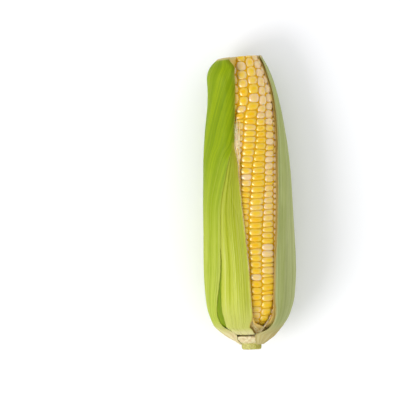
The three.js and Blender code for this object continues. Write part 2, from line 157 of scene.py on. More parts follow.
def gridFaces(rows, columns, start=0, closed=False):  # quads over points stored row by row
    wide = columns if closed else columns - 1
    i, j = np.meshgrid(np.arange(rows - 1), np.arange(wide), indexing="ij")
    a = start + i * columns + j
    b = start + i * columns + (j + 1) % columns
    return np.stack([a, b, b + columns, a + columns], axis=-1).reshape(-1, 4)


def joined(parts):  # one mesh from many, each with its points, faces and values
    points, faces, values = zip(*parts)
    starts = np.cumsum([0] + [len(co) for co in points])
    faces = [quads + start for quads, start in zip(faces, starts)]
    spread = {}
    for key in values[0]:
        each = [np.broadcast_to(own[key], len(co)) for own, co in zip(values, points)]
        spread[key] = np.concatenate(each)
    return np.concatenate(points), np.concatenate(faces), spread


class Wire:  # a shader socket that arithmetic works on
    def __init__(self, maker, socket):
        self.maker, self.socket = maker, socket

    def math(self, operation, first, second, isClamped=False):
        settings = {"operation": operation, "use_clamp": isClamped}
        return self.maker.node("Math", settings, [first, second])

    def __add__(self, other):
        return self.math("ADD", self, other)

    def __sub__(self, other):
        return self.math("SUBTRACT", self, other)

    def __rsub__(self, other):
        return self.math("SUBTRACT", other, self)

    def __mul__(self, other):
        return self.math("MULTIPLY", self, other)

    __radd__ = __add__
    __rmul__ = __mul__

    def clipped(self):
        return self.math("ADD", self, 0, isClamped=True)

    def between(self, low, high):  # 0 below low, 1 above high, smooth between
        sockets = {"Value": self, "From Min": low, "From Max": high}
        return self.maker.node("MapRange", {"interpolation_type": "SMOOTHSTEP"}, sockets)


class NodeMaker:  # makes and joins the nodes of a material or of the sky
    def __init__(self, tree):
        self.tree = tree

    def node(self, kind, settings, sockets, output=0):
        made = self.tree.nodes.new("ShaderNode" + kind)
        for key, value in settings.items():
            if key == "stops":
                ramp = made.color_ramp
                while len(ramp.elements) < len(value):
                    ramp.elements.new(0.5)
                for element, (position, shade) in zip(ramp.elements, value):
                    element.position, element.color = position, (*shade, 1)
            else:
                setattr(made, key, value)
        named = sockets.items() if isinstance(sockets, dict) else enumerate(sockets)
        for key, value in named:
            self.join(made.inputs[key], value)
        return Wire(self, made.outputs[output])

    def join(self, socket, value):
        if isinstance(value, Wire):
            self.tree.links.new(value.socket, socket)
        elif isinstance(value, tuple) and len(socket.default_value) == 4:
            socket.default_value = (*value, 1)
        else:
            socket.default_value = value


class Finish(NodeMaker):  # a material with a Principled shader
    def __init__(self, name, **values):
        self.material = bpy.data.materials.new(name)
        self.material.use_nodes = True
        super().__init__(self.material.node_tree)
        self.shader = self.tree.nodes["Principled BSDF"]
        self.set(**values)

    def set(self, **values):
        for key, value in values.items():
            self.join(self.shader.inputs[key.replace("_", " ")], value)

    def stored(self, name):  # a value that the mesh holds at its points
        return self.node("Attribute", {"attribute_name": name}, {}, "Fac")

    def blend(self, factor, a, b, kind="MIX"):  # its colour sockets are reached by their numbers
        settings = {"data_type": "RGBA", "blend_type": kind, "clamp_factor": True}
        return self.node("Mix", settings, {0: factor, 6: a, 7: b}, 2)

    def spot(self):
        return self.node("TexCoord", {}, {}, "Object")

    def vector(self, x, y, z=0):
        return self.node("CombineXYZ", {}, [x, y, z])

    def noise(self, vector, scale, detail=2, roughness=0.5):
        sockets = {"Vector": vector, "Scale": scale, "Detail": detail, "Roughness": roughness}
        return self.node("TexNoise", {}, sockets, "Fac")

    def bump(self, height, distance, strength=1):
        sockets = {"Height": height, "Distance": distance, "Strength": strength}
        self.set(Normal=self.node("Bump", {}, sockets))


lightLevel = {
    "gain": 1.2,  # how much light an upward face gets, against a sheet of paper that looks white
    "sheen": 0.014,  # how much of the sky a surface throws back unchanged
    "least": 0.001,
}


def linearLight(value):  # from a screen's value, 0 to 255
    share = value / 255
    return share / 12.92 if value <= 10 else ((share + 0.055) / 1.055) ** 2.4


def colour(red, green, blue):  # a colour as it should look in the studio's light, 0 to 255
    light = [linearLight(value) for value in (red, green, blue)]
    gain, sheen, least = lightLevel["gain"], lightLevel["sheen"], lightLevel["least"]
    return tuple(max(value - sheen, least) / gain for value in light)


ear = {
    "profile": [
        (14.2, 6.2), (14.6, 10.2), (16.1, 14.6), (18.8, 18.1), (22.7, 20.9), (27, 22.9), (33, 24.4),
        (42, 25.3), (51, 25.6), (69, 25.5), (82, 25.3), (100, 24.8), (121, 24), (134, 23.2),
        (143.6, 22.3), (152, 21.3), (160.6, 20.2), (170, 18.4), (177.5, 16), (183, 13.8),
        (187, 11.9), (190, 10.3), (196, 7.6),
    ],
    "rowCount": 18,
    "rowTwist": [
        (10, -2), (38, -1), (71, 0), (97, 4.7), (110, 8), (120, 10), (136, 16.5), (149, 19.5),
        (154, 22.5), (160, 28.5), (168, 30), (181, 31.3), (200, 33),
    ],
    "rowSpread": [(150, 0), (168, 0.06), (181, 0.34), (188, 0.56), (200, 0.56)],
    "rowSpreadAngle": 20,
    # how far a row winds to and fro, over what length, and how far on the next row is
    "rowSway": 1.3, "rowSwayLength": 19, "rowSwayTurn": 2.4,
    "rowSeed": 50021, "rowSeedStep": 56374,
    "kernelPitch": [(14, 5.8), (25, 5.2), (34, 4.2), (148, 4.2), (166, 6.2), (200, 6.2)],
    "kernelUneven": 0.13, "kernelLean": 0.4,
    "stuntedShare": 0.04, "stuntedLength": 0.55,
    "cutPassing": 5,  # a row's last kernel starts up to this far past the knife
    "firstKernelAt": 3,
    "grooveDepth": [(14, 0.5), (20, 1.5), (30, 1.8), (165, 2.1), (200, 1.9)],
    "cleftShare": 0.57,  # depth between two kernels of a row, against the groove between rows
    "coreShare": 0.63,  # how deep the cob's own surface lies, against the groove
    "seed": 41,
    "shownRows": (15, 16, 17, 0, 1, 2, 3),
    "shownCells": 16, "hiddenCells": 5,  # squares along a kernel's side, in those rows or others
    "coreRows": 90, "coreSides": 72,
    "coreCrown": -0.3, "coreTone": 0.4,  # what its colour goes by: a kernel's crown is 0 or more, so the core takes the painted shade of the grooves' depths
    "coreFrom": 0.1,
    "lineEnds": 0.06,  # how far a kernel stays from the ends of the line
    "cornerRound": [(14, 0.55), (30, 0.6), (140, 0.6), (160, 0.68), (200, 0.72)],
    # how flat a kernel's top is and how round its shoulders are, across its row and along it
    "acrossFlat": (2.3, 2.8), "acrossRound": (0.54, 0.6),
    "alongFlat": (2.0, 2.3), "alongRound": (0.52, 0.58),
    "cleftFade": 5,
    "lift": (-0.16, 0.1),  # how a kernel stands up from its neighbours, and how it tilts
    "acrossTilt": 0.1, "alongTilt": 0.05,
    "toneMean": 0.3,  # a kernel's tone goes from 0, golden, to 1, pale
    "toneSpread": 0.16,
    "sheenRight": 0.42, "sheenRightFrom": (22, 46),  # painted reflection: kernels on the right side are drawn towards the pale colour, for a sheen over them
    "toneTip": 0.3, "toneTipFrom": (150, 178),
    "tonePale": 0.3, "tonePaleUnder": 0.12,  # some stand out as paler, and some as more golden
    "toneGolden": 0.26, "toneGoldenOver": 0.84,
    "golden": (0.80, 0.475, 0.001), "plain": (0.79, 0.53, 0.025), "pale": (0.77, 0.56, 0.29),
    # painted light and shade in the grooves: a warm painted glow of light through the kernels on
    # their sides, darker painted shade further down, and dark pits of painted shade between kernels
    "groove": (0.9, 0.475, 0.001), "deep": (0.74, 0.39, 0.002), "pit": (0.5, 0.2, 0.01),
    "mottleScale": 420, "mottleShare": 0.4,
    # painted light: each kernel is paler round its shoulders and at its left end, where light
    # falls, and has a painted sheen at its right end
    "rimSheenShare": 0.12, "endLightShares": (0.26, 0.2),
    "pitScale": 260, "pitShadeShare": 0.7, "skinScale": 1500,
}
grooveAt = through(ear["grooveDepth"])
pitchAt = through(ear["kernelPitch"])
twistAt = through(ear["rowTwist"])
spreadAt = through(ear["rowSpread"])
cornerRoundAt = through(ear["cornerRound"])
earTop = through(ear["profile"])


def earLine():  # the line of the kernels' tops by its own length, as in the part's source
    profile = np.array(ear["profile"], float)
    lengths = np.concatenate([[0], np.cumsum(np.hypot(*np.diff(profile, axis=0).T))])
    along = through(np.column_stack([lengths, profile[:, 0]]))
    out = through(np.column_stack([lengths, profile[:, 1]]))
    return lengths[-1], along, out


lineLength, lineAlong, lineOut = earLine()
lineStep = 0.05


def onEar(u, sink):
    ds = lineAlong(u + lineStep) - lineAlong(u - lineStep)
    dr = lineOut(u + lineStep) - lineOut(u - lineStep)
    size = np.hypot(ds, dr)
    return lineAlong(u) + sink * dr / size, lineOut(u) - sink * ds / size


def grooveAngle(row, u):
    s = lineAlong(u)
    own = row % ear["rowCount"]
    sway = ear["rowSway"] * np.sin(s / ear["rowSwayLength"] + own * ear["rowSwayTurn"])
    even = twistAt(s) + 360 / ear["rowCount"] * row + sway
    return even + np.degrees(spreadAt(s) * sinDeg(even - ear["rowSpreadAngle"]))


def cutAt(angle, share=0):  # the line's length up to the knife, at a share of the grooves' depth
    u = lineLength
    while True:
        s, radius = onEar(u, share * grooveAt(lineAlong(u)))
        if s - cob["trimAt"] - trimLean * radius * sinDeg(angle) <= 0:
            return u
        u -= lineStep


def rowJoints(row):
    draw = randomSource(ear["rowSeed"] + ear["rowSeedStep"] * row)
    joints = []
    u = cutAt(grooveAngle(row + 0.5, lineLength)) + ear["cutPassing"] * next(draw)
    while u > ear["firstKernelAt"]:
        lean = ear["kernelLean"] * (2 * next(draw) - 1)
        joints.insert(0, (u - lean, u + lean))
        full = ear["stuntedLength"] if next(draw) < ear["stuntedShare"] else 1
        u -= float(pitchAt(lineAlong(u))) * full * (1 + ear["kernelUneven"] * (2 * next(draw) - 1))
    joints.insert(0, (0.0, 0.0))
    return joints


def knifePlane(points):
    return (cob["trimAt"] - cob["restAt"]) * millimetre + trimLean * points[..., 0]


def trimmed(points):  # moves what lies past the knife's plane back onto it
    points[..., 1] = np.minimum(points[..., 1], knifePlane(points))
    return points


def dome(x, flat, shoulder, rng):
    return (1 - np.abs(x) ** rng.uniform(*flat)) ** rng.uniform(*shoulder)


def kernelPoints(row, start, end, cells, rng):
    side = np.sin(np.linspace(-1, 1, cells + 1) * math.pi / 2)
    p, q = np.meshgrid(side, side)
    corner = float(cornerRoundAt(lineAlong((start[0] + end[0]) / 2))) / 2
    across = p * np.sqrt(1 - corner * q * q)
    along = q * np.sqrt(1 - corner * p * p)
    turned, shifted = (across + 1) / 2, (along + 1) / 2
    low, high = mix(start[0], start[1], turned), mix(end[0], end[1], turned)
    u = np.clip(mix(low, high, shifted), ear["lineEnds"], lineLength - ear["lineEnds"])
    angle = mix(grooveAngle(row, u), grooveAngle(row + 1, u), turned)
    crown = dome(p, ear["acrossFlat"], ear["acrossRound"], rng)
    crown = crown * dome(q, ear["alongFlat"], ear["alongRound"], rng)
    depth = grooveAt(lineAlong(u)) * mix(ear["cleftShare"], 1, np.abs(p) ** ear["cleftFade"])
    lift = rng.uniform(*ear["lift"])
    lift = lift + rng.normal(0, ear["acrossTilt"]) * p + rng.normal(0, ear["alongTilt"]) * q
    s, radius = onEar(u, depth * (1 - crown) - lift * crown)
    points = trimmed(place(s, angle, radius, huskRadius(s, angle) - radius)).reshape(-1, 3)
    return points, crown.ravel(), across.ravel(), float(lineAlong(u.mean())), float(angle.mean())


def kernelTone(s, angle, rng):
    tone = ear["toneMean"] + ear["toneSpread"] * rng.normal()
    # painted reflection: paler towards the right side
    tone += ear["sheenRight"] * float(ease(angle, *ear["sheenRightFrom"]))
    chance = rng.random()
    tone += ear["tonePale"] * (chance < ear["tonePaleUnder"])
    tone -= ear["toneGolden"] * (chance > ear["toneGoldenOver"])
    tone += ear["toneTip"] * float(ease(s, *ear["toneTipFrom"]))
    return min(max(tone, 0), 1)


def coreEnds():  # angles round the core, and how far along the line it reaches at each
    angle = np.linspace(0, 360, ear["coreSides"], endpoint=False)[None, :]
    return angle, np.array([cutAt(a, ear["coreShare"]) for a in angle[0]])[None, :]


def makeEar():
    rng = np.random.default_rng(ear["seed"])
    parts = []
    for row in range(ear["rowCount"]):
        joints = rowJoints(row)
        cells = ear["shownCells"] if row in ear["shownRows"] else ear["hiddenCells"]
        for start, end in zip(joints, joints[1:]):
            co, crown, across, s, angle = kernelPoints(row, start, end, cells, rng)
            tone = kernelTone(s, (angle + 180) % 360 - 180, rng)
            values = {"crown": crown, "tone": tone, "side": across}
            parts.append((co, gridFaces(cells + 1, cells + 1), values))
    angle, ends = coreEnds()
    u = mix(ear["coreFrom"], ends, np.linspace(0, 1, ear["coreRows"])[:, None])
    s, radius = onEar(u, grooveAt(lineAlong(u)) * ear["coreShare"])
    core = trimmed(place(s, angle, radius, huskRadius(s, angle) - radius))
    core[-1, :, 1] = knifePlane(core[-1])
    coreFaces = gridFaces(ear["coreRows"], ear["coreSides"], closed=True)
    values = {"crown": ear["coreCrown"], "tone": ear["coreTone"], "side": 0}
    parts.append((core.reshape(-1, 3), coreFaces, values))
    points, faces, values = joined(parts)
    return makeObject("kernels", points, faces, kernelFinish(), values)


def kernelFinish():
    f = Finish("Kernels", IOR=1.45, Specular_IOR_Level=0.18, Coat_Roughness=0.34)
    f.set(Subsurface_Weight=0.4, Subsurface_Radius=(1.0, 0.6, 0.15), Subsurface_Scale=0.0012)
    crown, tone, side = f.stored("crown"), f.stored("tone"), f.stored("side")
    spot = f.spot()
    mottle = f.noise(spot, ear["mottleScale"], 2)
    # painted sheen round each kernel's shoulders, painted light at its left end and painted sheen
    # at its right end
    rim = 1 - crown.between(0.6, 0.97)
    rightSheen, leftLit = ear["endLightShares"]
    ends = side.between(0.1, 1.0) * rightSheen + (1 - side.between(-1.0, -0.4)) * leftLit
    grade = (tone + (mottle - 0.5) * ear["mottleShare"] + rim * ear["rimSheenShare"] + ends).clipped()
    stops = [(0.0, ear["golden"]), (0.45, ear["plain"]), (1.0, ear["pale"])]
    body = f.node("ValToRGB", {"stops": stops}, [grade])
    # painted glow on the grooves' sides, painted shade deeper down and in pits between kernels
    body = f.blend(crown.between(0.0, 0.32), ear["groove"], body)
    body = f.blend(crown.between(-0.3, 0.06), ear["deep"], body)
    shadedPits = (1 - crown.between(-0.3, 0.0)) * f.noise(spot, ear["pitScale"], 2).between(0.56, 0.7)
    body = f.blend(shadedPits * ear["pitShadeShare"], body, ear["pit"])
    f.set(Base_Color=body, Roughness=0.28 + mottle * 0.1 + (1 - crown.between(0.1, 0.6)) * 0.5)
    f.set(Coat_Weight=crown.between(0.2, 0.5) * (1 - crown.between(0.86, 1.0)))
    f.bump(f.noise(spot, ear["skinScale"], 2), 0.00004, 0.5)
    return f.material


cutFace = {
    "rings": 16,
    "dish": 0.12,  # the soft pith shrinks a little
    "grainScale": 900, "grainShare": 0.16,
    "stops": [  # from the pith to the kernels' feet
        (0.0, colour(246, 240, 220)), (0.45, colour(240, 232, 205)), (0.55, colour(206, 186, 130)),
        (0.68, colour(232, 214, 150)), (0.82, colour(214, 170, 70)), (1.0, colour(240, 196, 70)),
    ],
}


def cutFaceFinish():
    f = Finish("Cob cut", Roughness=0.7)
    grain = f.noise(f.spot(), cutFace["grainScale"], 4, 0.65)
    ring = (f.stored("ring") + (grain - 0.5) * cutFace["grainShare"]).clipped()
    f.set(Base_Color=f.node("ValToRGB", {"stops": cutFace["stops"]}, [ring]))
    f.bump(grain, 0.0003, 0.6)
    return f.material


def makeCutFace():  # the knife's face through the cob, inside the last kernels
    share = np.linspace(0, 1, cutFace["rings"])[:, None]
    angle, ends = coreEnds()
    radius = share * onEar(ends, grooveAt(lineAlong(ends)) * ear["coreShare"])[1]
    dish = cutFace["dish"] * (1 - share**2)
    s = cob["trimAt"] + trimLean * radius * sinDeg(angle) - dish
    points = place(s, angle, radius, 0 * radius).reshape(-1, 3)
    faces = gridFaces(cutFace["rings"], ear["coreSides"], closed=True)[:, ::-1]
    return makeObject("cob_cut_face", points, faces, cutFaceFinish(), {"ring": share + 0 * angle})


print("ear")
for piece in (makeEar(), makeCutFace()):
    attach(piece, "root")
    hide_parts("ear")

# A leaf's margins are angles at each s. The window is the opening over the kernels.
windowLeft = through([
    (10.3, 8.5), (12.4, 3), (15.6, -3), (20.8, 0.8), (32, 0.2), (48, -1.2), (64, -3.3), (89, -8),
    (100, -10), (110, -11.6), (124, -14.2), (131, -17), (170, -17.4), (178, -19), (188, -34),
    (196, -40),
])
windowRight = through([
    (3.3, 26), (5.8, 14), (8.5, 9.5), (10.3, 10), (12.4, 27), (15.6, 36.6), (20.8, 38.2),
    (32, 36.6), (48, 37), (64, 40), (89, 46), (110, 50.6), (123, 53.3), (144, 60.8), (160, 64.4),
    (178, 64.5), (188, 74), (196, 78),
])
outerLeftEdge = through([
    (3.3, -62), (5.8, -57), (9.4, -44), (12.4, -47), (15.6, -54), (20.8, -58), (26, -55.4),
    (34, -49.2), (51, -41), (71, -39.3), (94, -38.2), (116, -28.4), (125, -24), (129, -21),
    (133, -17.8), (148, -17.4), (178, -17.5), (183, -18.5), (188, -33), (196, -40),
])
frontLeftEdge = through([
    (10.3, -58), (12.4, -51), (15.6, -45.5), (20.8, -43.8), (26, -43.6), (34, -41.6), (51, -38.6),
    (71, -37.4), (94, -36.2), (116, -26.6), (125, -22.4), (130, -19.2), (134, -18.4),
])
innerLeftEdge = through([
    (5.8, 45), (8.5, 42), (10.3, 36), (12.4, 24), (15.6, 9), (20.8, 3.8), (34, 1), (64, -2.2),
    (89, -7), (104, -9), (115, -10.2), (127, -11), (134, -13.5), (142, -16.5), (152, -20),
    (170, -20.5), (178, -21), (188, -23), (196, -24),
])
innerRightEdge = through([
    (5.8, 47), (8.5, 44.5), (10.3, 38), (12.4, 29.5), (15.6, 31), (20.8, 35.5), (32, 36.2),
    (48, 36.5), (64, 39.5), (89, 45.4), (110, 50), (123, 52.8), (144, 60), (160, 63.4), (178, 63.5),
    (188, 73), (196, 77),
])

husk = {
    "tipThick": 0.82, "tipFrom": (120, 148),  # leaves and gaps grow thinner towards the tip
    # the inner leaf takes up the middle leaf's room past its end, on the right side
    "rightSide": (-0.1, 0.5), "middleGone": (124, 146),
    "tuck": (0, 3.1, 3.4), "tuckTo": (6, 19),  # deeper leaves grow from higher up the shank
    "hugAlong": (20, 36), "hugFrom": 0.4,
    "raggedWaves": (6, 40, 2.5),  # how many waves, the longest and the shortest
    "ridgeWaves": (8, 5, 1.1),
    "bulgeWaves": (3, 90, 35), "bulgeTurn": 12,
    "raggedReach": 2,  # how far in from a margin its waves go, and where ridges and bulges are full
    "ridgeReach": 1.5, "bulgeReach": 6,
    "flatUnder": (20, 60),  # no lift this near to straight down, where the cob lies on a leaf
    "dipReach": (0.5, 2.4),
    "marginThick": 0.35, "marginReach": (-0.4, 1.6),
    "rounds": 5,  # in which a trimmed leaf's far end settles on the knife's plane
}


def slimming(s):
    return mix(1, husk["tipThick"], ease(s, *husk["tipFrom"]))


def layerDepth(layer, s, angle):
    one = cob["outerThick"] + cob["leafGap"]
    both = one + cob["middleThick"] + cob["leafGap"]
    if layer == 0:
        return 0 * s * angle
    if layer == 1:
        return slimming(s) * one + 0 * angle
    raised = ease(sinDeg(angle), *husk["rightSide"]) * ease(s, *husk["middleGone"])
    return slimming(s) * mix(both, one, raised)


def tuck(layer, s):
    return husk["tuck"][layer] * (1 - ease(s, *husk["tuckTo"]))


def leafPoint(layer, s, angle, depth, lift):
    step = 0.5
    slope = (huskRadius(s + step, angle) - huskRadius(s - step, angle)) / (2 * step)
    size = np.hypot(1, slope)
    lifted = depth - lift
    return s + lifted * slope / size + tuck(layer, s), huskRadius(s, angle) - lifted / size


def nothing(*_):
    return 0


def hug(s, angle, layer, above):  # depth that brings a leaf's outside this near to the kernels
    room = huskRadius(s, angle) - earTop(s) - layerDepth(layer, s, angle) - above
    return np.maximum(room, 0) * ease(s, *husk["hugAlong"])


def makeLeaf(name, leaf):
    rng = np.random.default_rng(leaf["seed"])
    t = np.linspace(0, 1, leaf["columns"] + 1)[None, :]
    v = np.linspace(0, 1, leaf["rows"] + 1)[:, None]
    torn = {which: waves(rng, *husk["raggedWaves"]) for which in ("Left", "Right")}
    ridges, bulges = waves(rng, *husk["ridgeWaves"]), waves(rng, *husk["bulgeWaves"])
    swirl, puff, foot = (leaf.get(key, nothing) for key in ("swirl", "puff", "foot"))
    isTrimmed = leaf["to"] > cob["trimAt"]
    skins = []
    for inside in (0, 1):
        end = leaf["to"] + 0 * t
        for _ in range(husk["rounds"] if isTrimmed else 1):
            s = mix(leaf["from"], end, v)
            left, right = leaf["left"](s), leaf["right"](s)
            angle = mix(left, right, t)
            width = np.radians(right - left) * huskRadius(s, angle)
            fromLeft, fromRight = t * width, (1 - t) * width
            margins = (("Left", fromLeft), ("Right", fromRight))
            for which, inwards in margins:
                wave = leaf.get("ragged" + which, 0) * torn[which](s)
                angle = angle + wave * (1 - ease(inwards, 0, husk["raggedReach"]))
            edge = np.minimum(fromLeft, fromRight)
            ridge = leaf["ridge"] * ridges(leaf["ribs"] * t + swirl(s))
            bulge = leaf.get("bulge", 0) * bulges(s + husk["bulgeTurn"] * t)
            lift = ridge * ease(edge, 0, husk["ridgeReach"])
            lift = lift + bulge * ease(edge, 0, husk["bulgeReach"])
            lift = lift + puff(s, t, fromLeft, fromRight)
            fromUnder = 180 - np.abs((angle + 180) % 360 - 180)
            lift = lift * ease(fromUnder, *husk["flatUnder"])
            for which, inwards in margins:
                dip = leaf.get("dip" + which, nothing)(s)
                lift = lift - dip * (1 - ease(inwards, *husk["dipReach"]))
            for which, inwards in margins:
                if "hug" + which in leaf:
                    above, reach = leaf["hug" + which]
                    near = 1 - ease(inwards, husk["hugFrom"], reach)
                    near = near * leaf.get("hugOver", fixed(1))(s)
                    lift = mix(lift, -hug(s, angle, leaf["layer"], above), near)
            thinned = mix(husk["marginThick"], 1, ease(edge, *husk["marginReach"]))
            thick = leaf["thick"] * slimming(s) * thinned
            depth = layerDepth(leaf["layer"], s, angle) + inside * thick
            along, radius = leafPoint(leaf["layer"], s, angle, depth, lift)
            radius = radius - foot(s, angle, fromLeft, fromRight)
            if isTrimmed:
                past = along[-1:] - cob["trimAt"] - trimLean * (radius * sinDeg(angle))[-1:]
                end = end - past
        skins.append(place(along, angle, radius, depth).reshape(-1, 3))
    rows, columns = leaf["rows"] + 1, leaf["columns"] + 1
    count = rows * columns
    grid = np.arange(count).reshape(rows, columns)
    loop = np.concatenate([grid[0, :], grid[1:, -1], grid[-1, -2::-1], grid[-2:0:-1, 0]])
    after = np.roll(loop, -1)
    rim = np.stack([loop, loop + count, after + count, after], axis=-1)
    outside, lining = gridFaces(rows, columns), gridFaces(rows, columns, count)[:, ::-1]
    faces = np.concatenate([outside, lining, rim])
    far = 50  # only torn margins and cut ends get their colours
    values = {
        "across": leaf["ribs"] * t + swirl(s),
        "along": s + 0 * t,
        "fromLeft": fromLeft + (0 if leaf.get("raggedLeft") else far),
        "fromRight": fromRight + (0 if leaf.get("raggedRight") else far),
        "fromEnd": end - s + (0 if isTrimmed else far),
    }
    values = {key: np.tile((value + 0 * s * t).ravel(), 2) for key, value in values.items()}
    values["inside"] = np.repeat([0.0, 1.0], count)
    piece = makeObject(name, np.concatenate(skins), faces, leaf["finish"], values, sharpOver=50)
    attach(piece, "root")
    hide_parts(leaf["node"])


grain = {  # the layers of a leaf's grain: how drawn out, seed, scale, detail and roughness
    "veins": (0.010, 0, 1.0, 2, 0.6),
    "fibres": (0.025, 3, 3.4, 3, 0.7),
    "bands": (0.018, 7, 0.24, 2, 0.5),
    "blotch": (0.5, 11, 0.09, 3, 0.6),
    "streaks": (0.014, 19, 0.8, 2, 0.55),
}


def huskFinish(name, look):
    f = Finish(name, IOR=1.4, Specular_IOR_Level=0.09, Subsurface_Weight=0.06)
    f.set(Subsurface_Radius=(0.6, 0.8, 0.2), Subsurface_Scale=0.0012)
    across, along = f.stored("across"), f.stored("along")

    def layerOf(drawn, seed, *rest):
        return f.noise(f.vector(across, along * drawn, look["seed"] + seed), *rest)

    veins, fibres, bands, blotch, streaks = (layerOf(*layer) for layer in grain.values())

    def frayed(distance, width):  # a border that follows the fibres
        return distance + (fibres - 0.5) * width

    def tinted(share, tint):
        return f.blend(share, body, f.blend(1.0, body, tint, "MULTIPLY"))

    stripes = mix(0.5, bands.between(0.34, 0.66), 1 - along.between(90, 140) * 0.3)
    body = f.blend(stripes, look["dark"], look["light"])
    body = f.blend(veins.between(0.5, 0.66) * look["veinShare"], body, look["vein"])
    body = f.blend(fibres.between(0.5, 0.3) * 0.5, body, look["deep"])
    body = f.blend(blotch.between(0.5, 0.75) * 0.25, body, look["light"])
    nearTip = (along + (bands - 0.5) * 30).between(*look["tipFrom"])
    body = tinted(nearTip, look["tipTint"])
    body = tinted(nearTip * streaks.between(0.5, 0.66) * look["streakShare"], look["streak"])
    whiten = 1 - frayed(along, 10).between(*look["creamTo"])
    pale = f.blend(bands.between(0.35, 0.6), look["cream"], look["creamDark"])
    body = f.blend(whiten, body, pale)
    for side, reach in (("fromLeft", look["dryLeft"]), ("fromRight", look["dryRight"])):
        dry = 1 - frayed(f.stored(side), 0.8).between(0.1, reach)
        body = f.blend(dry * along.between(*look["dryFrom"]) * look["dryShare"], body, look["edge"])
    # painted shade: darker near the right margin, where the leaf rolls down, mixed with the
    # margin's own browner hue
    roll = 1 - frayed(f.stored("fromRight"), 2).between(*look["rollShadeReach"])
    body = tinted(roll * along.between(*look["rollShadeFrom"]), look["rollShadeTint"])
    foot = 1 - frayed(along, 4).between(*look["footTo"])
    body = f.blend(foot * look["footShare"], body, look["footTint"])
    cutEnd = 1 - frayed(f.stored("fromEnd"), 1.6).between(*look["cutReach"])
    body = f.blend(cutEnd * look["cutShare"], body, look["cut"])
    body = f.blend(f.stored("inside") * look["innerShare"], body, look["inner"])
    f.set(Base_Color=body, Roughness=0.42 + fibres * 0.2)
    f.bump(veins * 0.7 + fibres * 0.3, 0.00025, 0.6)
    return f.material


outerLook = {
    "seed": 2.0, "light": colour(188, 200, 80), "dark": colour(158, 176, 40),
    "vein": colour(202, 210, 104), "deep": colour(134, 158, 18), "veinShare": 0.6,
    "tipTint": (0.67, 0.78, 0.03), "tipFrom": (66, 132),
    "streak": (0.72, 0.8, 0.4), "streakShare": 0.5,
    "cream": colour(232, 222, 172), "creamDark": colour(216, 196, 148), "creamTo": (8, 20),
    "edge": colour(182, 184, 76), "dryLeft": 0.4, "dryRight": 0.2,  # how far in the margins dried
    "dryFrom": (6, 24), "dryShare": 0.8,
    # the roll tint is painted shade at the right margin, with the margin's own browner hue
    "rollShadeTint": (0.78, 0.66, 0.3), "rollShadeFrom": (126, 140), "rollShadeReach": (0.8, 3.6),
    "footTint": colour(224, 214, 160), "footTo": (11.5, 15), "footShare": 0,
    "cut": colour(228, 206, 152), "cutReach": (0.5, 2.1), "cutShare": 0.85,
    "inner": colour(206, 206, 130), "innerShare": 0.8,
}
# partly the leaf's own green, partly a painted sheen that makes it paler and greyer
rightLook = {
    **outerLook, "seed": 13.0, "light": colour(190, 196, 136), "dark": colour(162, 170, 108),
    "vein": colour(204, 210, 156), "deep": colour(142, 156, 82), "tipTint": (0.94, 0.96, 0.88),
    "cream": colour(202, 190, 134), "creamDark": colour(182, 162, 98),
    "edge": colour(196, 172, 112), "dryLeft": 0.7, "streakShare": 0.3,
}
frontLook = {
    **outerLook, "seed": 5.0, "light": colour(202, 209, 82), "dark": colour(174, 184, 44),
    "vein": colour(224, 228, 128), "deep": colour(150, 164, 28), "veinShare": 0.75,
    "tipTint": (0.74, 0.76, 0.45), "tipFrom": (30, 140), "streakShare": 0.2,
    "cream": colour(206, 208, 124), "creamDark": colour(194, 196, 104), "creamTo": (8, 40),
    "edge": colour(206, 190, 84), "dryLeft": 0.12, "dryRight": 0.8,
    "rollShadeTint": (0.86, 0.76, 0.55), "rollShadeFrom": (100, 125), "footShare": 0.75,
}
# partly its own colour, partly painted shade: a darker green than the outer leaves, for the shade
# of the gaps it shows through
middleLook = {
    **outerLook, "seed": 8.0, "light": colour(133, 155, 2), "dark": colour(114, 137, 0),
    "vein": colour(146, 168, 12), "deep": colour(98, 122, 0), "tipTint": (0.9, 0.9, 0.9),
    "cream": colour(186, 184, 80), "creamTo": (6, 12),
}
innerLook = {
    **outerLook, "seed": 9.0, "light": colour(250, 224, 140), "dark": colour(240, 200, 98),
    "vein": colour(252, 240, 186), "deep": colour(222, 168, 60), "tipTint": (1, 0.95, 0.85),
    "cream": colour(238, 216, 146), "creamDark": colour(208, 168, 88),
    "edge": colour(226, 172, 62), "dryLeft": 0.8, "dryRight": 0.8,
    "rollShadeTint": (1, 0.96, 0.86), "inner": colour(236, 220, 160),
}


def fixed(angle):
    return lambda s: angle + 0 * s


def veinSlant(s):  # the outer left leaf's veins lean towards the opening near the tip
    return -0.0022 * np.maximum(s - 85, 0) ** 2


front = {
    "overlap": 2.4, "overlapFrom": (52, 78),  # degrees that it reaches under the outer left leaf
    "puff": 0.7, "puffFrom": (14, 24), "puffTo": (90, 125),
    # a short fold beside the opening
    "crease": 0.32, "creaseAt": 0.61, "creaseEnd": 97, "creaseSlant": 0.02,
    "creaseWidth": 0.035, "creaseFrom": (84, 88), "creaseTo": (97, 101),
    "drawnIn": 4, "drawnInTo": (10.3, 15.6),  # towards the collar that it grows from
    "hugRight": (1.6, 6.5),
}


def overlap(s):
    return front["overlap"] * ease(s, *front["overlapFrom"])


def frontPuff(s, t, fromLeft, fromRight):
    puff = front["puff"] * np.sin(math.pi * t) * ease(s, *front["puffFrom"])
    puff = puff * (1 - ease(s, *front["puffTo"]))
    across = (t - front["creaseAt"]) - (front["creaseEnd"] - s) * front["creaseSlant"]
    crease = front["crease"] * np.exp(-((across / front["creaseWidth"]) ** 2))
    return puff - crease * ease(s, *front["creaseFrom"]) * (1 - ease(s, *front["creaseTo"]))


def frontFoot(s, angle, fromLeft, fromRight):
    return front["drawnIn"] * (1 - ease(s, *front["drawnInTo"]))


